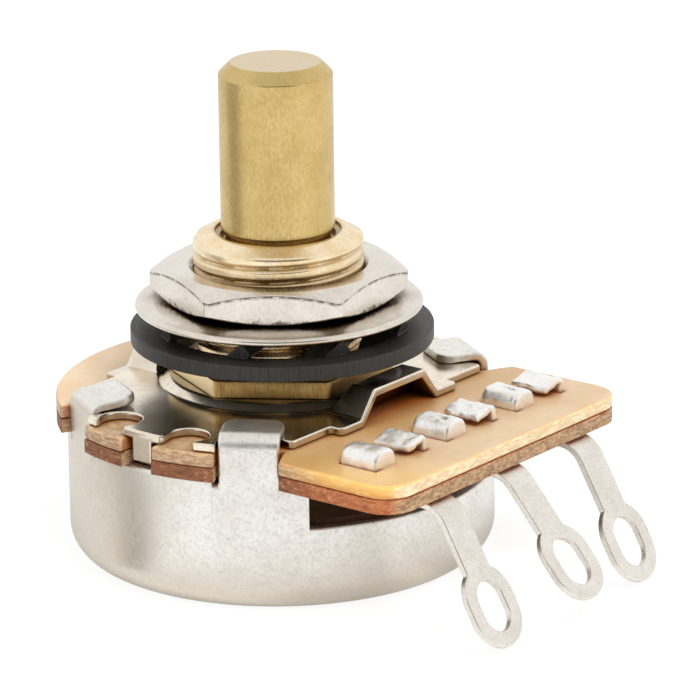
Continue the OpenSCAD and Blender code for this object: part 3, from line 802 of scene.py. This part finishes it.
def ear_leg(name, node, x, seed):
    """The rear ear, folded down to the board and crumpled."""
    fold, bend, step = math.radians(104), 0.25, 0.09
    half_w, half_t, end, mid_y = 1.2, 0.2, 0.15, -12.2
    hinge_x, hinge_z = x + 1.85, 9.72
    path = [((x + 2.1, EAR_FOOT + 0.13 * i), (1.0, 0.0)) for i in range(5)]
    for i in range(1, 8):
        t = fold * i / 7
        point = (hinge_x + bend * math.cos(t), hinge_z + bend * math.sin(t))
        path.append((point, (math.cos(t), math.sin(t))))
    bent = len(path)
    n = (math.cos(fold), math.sin(fold))
    for i in range(1, 15):
        d = step * i
        path.append(((hinge_x + bend * n[0] - n[1] * d, hinge_z + bend * n[1] + n[0] * d), n))
    rows = []
    last = len(path) - 1
    for k, ((px, pz), (nx, nz)) in enumerate(path):
        e = (last - k) * step
        h = half_t if e > end else half_t * math.sqrt(max(0.02, 1 - (1 - e / end) ** 2))
        free = smooth((pz - 9.35) / 0.3)
        row = []
        for u, v in soft_rectangle(half_w, h, 0.13, flat=16):
            ragged = free * (0.10 * wobble(px, u * 1.5, 0, seed, 2.2))
            fine = 0.03 * wobble(px, u, 2.0, seed + 9, 4.0)
            wave = free * (0.07 * wobble(px, u, 1.0, seed + 3, 1.5) + fine)
            torn = 0.25 * wobble(0, u, 3.0, seed + 1, 1.8) * free if k > bent else 0
            y = mid_y + u * (1 + ragged)
            row.append((px + nx * (v + wave) - torn, y, pz + nz * (v + wave)))
        rows.append(row)
    ob = grid_mesh(name, rows, smooth_angle=45)
    finish_piece(ob, "housing", ear_tin)
    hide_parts(node)


lugs = (("terminal_left", -6.3), ("terminal_middle", 0.0), ("terminal_right", 6.3))
for k, (node, x) in enumerate(lugs):
    fair_copy(node, 0.08, lug_tin, 3, edit=drop_ears)
    ear_hump("ear_hump_%d" % (k + 1), node, x, k + 1.5, slit=k > 0)
    ear_leg("ear_leg_%d" % (k + 1), node, x, k + 0.7)


# INNER PIECES: CAD forms with their own finishes
for node, width, mat, slot in (
    ("resistance_track", 0.01, carbon, "carbon"),
    ("track_end_left", 0.01, silver_ink, "silver_ink"),
    ("track_end_right", 0.01, silver_ink, "silver_ink"),
    ("collector_ring", 0.01, silver_ink, "silver_ink"),
    ("rotor", 0.08, rotor_mat, "rotor_phenolic"),
    ("brush_spring", 0.03, spring_bronze, "spring_bronze"),
    ("stop_plate", 0.05, spring_steel, "spring_steel"),
    ("retaining_ring", 0.04, spring_steel, "spring_steel"),
    ("thrust_washer", 0.03, spring_bronze, "spring_bronze"),
):
    fair_copy(node, width, mat)


# FLOOR: white where the camera sees it, with the part's faint shadow
floor_mesh = bpy.data.meshes.new("floor")
floor_mesh.from_pydata([(-3, -3, 0), (3, -3, 0), (3, 3, 0), (-3, 3, 0)], [], [(0, 1, 2, 3)])
floor = link(bpy.data.objects.new("floor", floor_mesh))
floor_mat = bpy.data.materials.new("floor")
floor_mat.use_nodes = True
nt = floor_mat.node_tree
nt.nodes.clear()
out = nt.nodes.new("ShaderNodeOutputMaterial")
matt = nt.nodes.new("ShaderNodeBsdfDiffuse")
matt.inputs["Color"].default_value = (0.93, 0.93, 0.93, 1)
glow = nt.nodes.new("ShaderNodeEmission")
glow.inputs["Color"].default_value = (1, 1, 1, 1)
glow.inputs["Strength"].default_value = 1.12
rays = nt.nodes.new("ShaderNodeLightPath")
# how much of the floor is glow, for each kind of ray that looks at it
seen = 0.0
for ray, part in (("Is Camera Ray", 0.78), ("Is Glossy Ray", 0.30), ("Is Transmission Ray", 0.30)):
    seen = combine(nt, "ADD", seen, combine(nt, "MULTIPLY", rays.outputs[ray], part))
blend = nt.nodes.new("ShaderNodeMixShader")
nt.links.new(seen, blend.inputs[0])
nt.links.new(matt.outputs[0], blend.inputs[1])
nt.links.new(glow.outputs[0], blend.inputs[2])
nt.links.new(blend.outputs[0], out.inputs["Surface"])
floor_mesh.materials.append(floor_mat)


# FLAGS: grey cards out of the picture, that only reflections show
def flag(name, points, shade):
    """A flat card through pairs of points in millimetres, seen only by glossy rays."""
    verts = [tuple(c * MM for c in p) for p in points]
    faces = [(2 * i, 2 * i + 1, 2 * i + 3, 2 * i + 2) for i in range(len(points) // 2 - 1)]
    ob = make_mesh(name, verts, faces)
    m = bpy.data.materials.new(name)
    m.use_nodes = True
    m.node_tree.nodes.clear()
    o = m.node_tree.nodes.new("ShaderNodeOutputMaterial")
    e = m.node_tree.nodes.new("ShaderNodeEmission")
    e.inputs["Color"].default_value = (*shade, 1)
    m.node_tree.links.new(e.outputs[0], o.inputs["Surface"])
    ob.data.materials.append(m)
    ob.visible_camera = False
    ob.visible_diffuse = False
    ob.visible_shadow = False


flag("flag_left", [
    (-14.4, 1.5, 0.3), (-13.5, 4.3, 0.3), (-22.2, 7.3, 0.3), (-18.9, 12.3, 0.3),
    (-29.7, 12.8, 0.3), (-24.1, 20.0, 0.3), (-44, 30, 0.3), (-27, 38, 0.3),
    (-75, 62, 0.3), (-26, 80, 0.3), (-115, 110, 0.3), (-25, 130, 0.3),
], (0.42, 0.39, 0.34))
flag("ceiling", [
    (-230, -200, 480), (-230, 200, 480), (170, -200, 480), (170, 200, 480),
], (0.82, 0.81, 0.79))
flag("front", [
    (-580, -60, 5), (-580, -60, 400), (-420, -340, 5), (-420, -340, 400),
    (-120, -560, 5), (-120, -560, 400),
], (0.14, 0.13, 0.12))

# WORLD: white where the camera and the metals see it, softer as a light
world = bpy.data.worlds.new("studio")
scene.world = world
world.use_nodes = True
wt = world.node_tree
rays = wt.nodes.new("ShaderNodeLightPath")
seen = combine(wt, "MAXIMUM", rays.outputs["Is Camera Ray"], rays.outputs["Is Glossy Ray"])
seen = combine(wt, "MAXIMUM", seen, rays.outputs["Is Transmission Ray"])
shade = wt.nodes.new("ShaderNodeMix")
shade.data_type = "RGBA"
shade.inputs[6].default_value = (0.50, 0.50, 0.50, 1)
shade.inputs[7].default_value = (1, 1, 1, 1)
wt.links.new(seen, shade.inputs["Factor"])
sky = wt.nodes["Background"]
wt.links.new(shade.outputs[2], sky.inputs["Color"])
sky.inputs["Strength"].default_value = 1.0


# LAMPS: one large soft light above and in front, one weaker from the left
def area(name, place, size, power):
    """A round lamp aimed at the part, which doesn't show in reflections."""
    aim = (0, 0, 0.01)
    data = bpy.data.lights.new(name, "AREA")
    data.shape = "DISK"
    data.size = size
    data.energy = power
    ob = link(bpy.data.objects.new(name, data))
    ob.location = place
    ob.rotation_mode = "QUATERNION"
    ob.rotation_quaternion = (Vector(aim) - Vector(place)).to_track_quat("-Z", "Y")
    ob.visible_glossy = False


area("key", (-0.10, -0.30, 0.45), 0.30, 2.3)
area("fill", (-0.45, 0.10, 0.25), 0.25, 0.5)

# CAMERA: fitted to the outlines in the photograph
FOCAL_PX, PICTURE_PX, SENSOR_MM, ROLL = 4753, 700, 36, 0.012
eye = Vector((-0.19702, -0.16045, 0.09123))
target = Vector((0.00243, -0.00308, 0.01133))
ahead = (target - eye).normalized()
right = Vector((ahead.y, -ahead.x, 0)).normalized()
up = right.cross(ahead)
cam = link(bpy.data.objects.new("camera", bpy.data.cameras.new("camera")))
axes = Matrix(
    (
        right * math.cos(ROLL) - up * math.sin(ROLL),
        up * math.cos(ROLL) + right * math.sin(ROLL),
        -ahead,
    )
).transposed().to_4x4()
axes.translation = eye
cam.matrix_world = axes
cam.data.sensor_width = SENSOR_MM
cam.data.lens = FOCAL_PX / PICTURE_PX * SENSOR_MM
cam.data.clip_start = 0.01
cam.data.clip_end = 20
scene.camera = cam
scene.view_settings.view_transform = "Standard"

bpy.context.view_layer.update()
